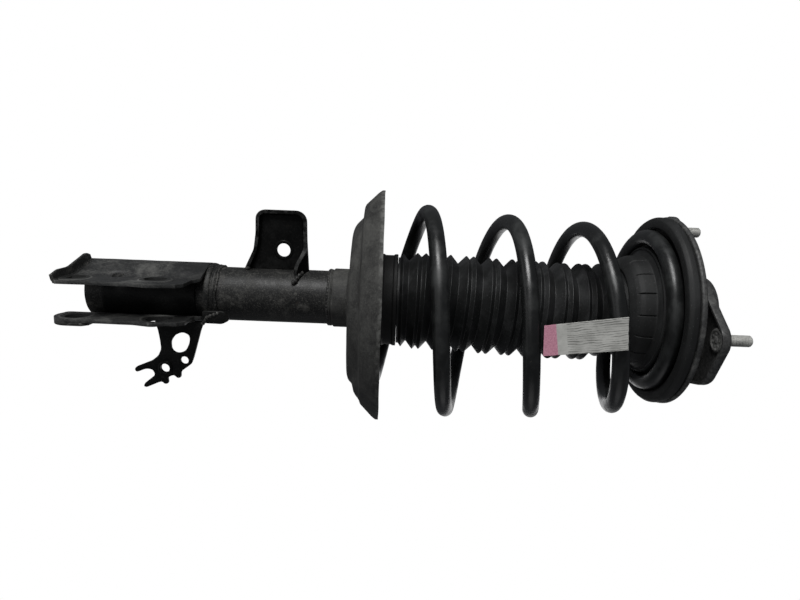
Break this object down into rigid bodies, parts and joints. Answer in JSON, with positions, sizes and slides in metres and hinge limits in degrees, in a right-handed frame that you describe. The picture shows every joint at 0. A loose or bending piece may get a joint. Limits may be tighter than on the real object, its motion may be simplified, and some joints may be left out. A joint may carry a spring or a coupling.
{
  "type": "strut assembly",
  "caption": "Front suspension strut: damper in a barrel-shaped coil spring, with a three-stud top mount, bellows boot, spring seats, clevis bracket, link and hose brackets.",
  "frame": {"origin": "centre of the top mount's flat mounting face, on the rod's axis", "axes": "+Z along the rod's axis, out through the studs; the clevis opens towards -Y, the wheel's side; the link bracket is at -X and the hose bracket at +X"},
  "size_m": [0.2095, 0.2133, 0.5984],
  "materials": {
    "black_paint": "worn satin black paint over steel",
    "dusty_steel": "dusty dark grey paint",
    "zinc_black": "dark zinc plate with a mottled grey bloom",
    "zinc": "dull zinc plate",
    "chrome": "hard chrome, polished",
    "spring_paint": "semi-gloss black powder coat",
    "rubber": "matt moulded rubber",
    "boot_rubber": "satin black blow-moulded rubber",
    "foam": "cellular foam",
    "race_plastic": "moulded black plastic",
    "paper": "matt label paper"
  },
  "bodies": {
    "mount_body": {"mount_plate": "zinc_black", "mount_stud_1": "zinc", "mount_stud_2": "zinc", "mount_stud_3": "zinc", "mount_rubber": "rubber", "mount_core": "zinc", "bearing_carrier": "zinc_black", "rod_washer": "zinc", "rod_nut": "zinc", "bearing_upper_race": "race_plastic", "piston_rod": "chrome", "rebound_stop": "rubber", "piston": "zinc", "piston_nut": "zinc", "bump_stop_cup": "zinc", "bump_stop": "foam"},
    "bearing_body": {"bearing_cage": "zinc"},
    "upper_seat_body": {"bearing_lower_race": "race_plastic", "upper_spring_seat": "black_paint", "upper_insulator": "rubber", "coil_spring": "spring_paint", "spring_label": "paper", "dust_boot": "boot_rubber"},
    "damper_body": {"strut_tube": "black_paint", "base_cap": "black_paint", "pressure_tube": "zinc", "base_valve": "zinc", "rod_guide": "zinc", "rod_seal": "rubber", "tube_end_cap": "black_paint", "boot_retainer": "rubber", "lower_spring_seat": "dusty_steel", "seat_collar": "dusty_steel", "lower_insulator": "rubber", "knuckle_bracket": "black_paint", "bracket_closure": "black_paint", "bracket_band": "black_paint", "hose_bracket": "black_paint", "link_bracket": "black_paint"}
  },
  "joints": [
    {"name": "steer", "type": "hinge", "parent": "mount_body", "child": "upper_seat_body", "pos_m": [0, 0, 0], "axis": [0, 0, 1], "range_deg": [-40, 40]},
    {"name": "cage_turn", "type": "hinge", "parent": "mount_body", "child": "bearing_body", "pos_m": [0, 0, 0], "axis": [0, 0, 1], "range_deg": [-20, 20]},
    {"name": "stroke", "type": "slide", "parent": "upper_seat_body", "child": "damper_body", "axis": [0, 0, 1], "range_m": [0, 0.14], "stiffness_N_per_m": 25000, "deforming": ["coil_spring", "dust_boot", "spring_label"]}
  ],
  "couplings": [
    {"joint": "cage_turn", "follows": "steer", "ratio": 0.5}
  ]
}
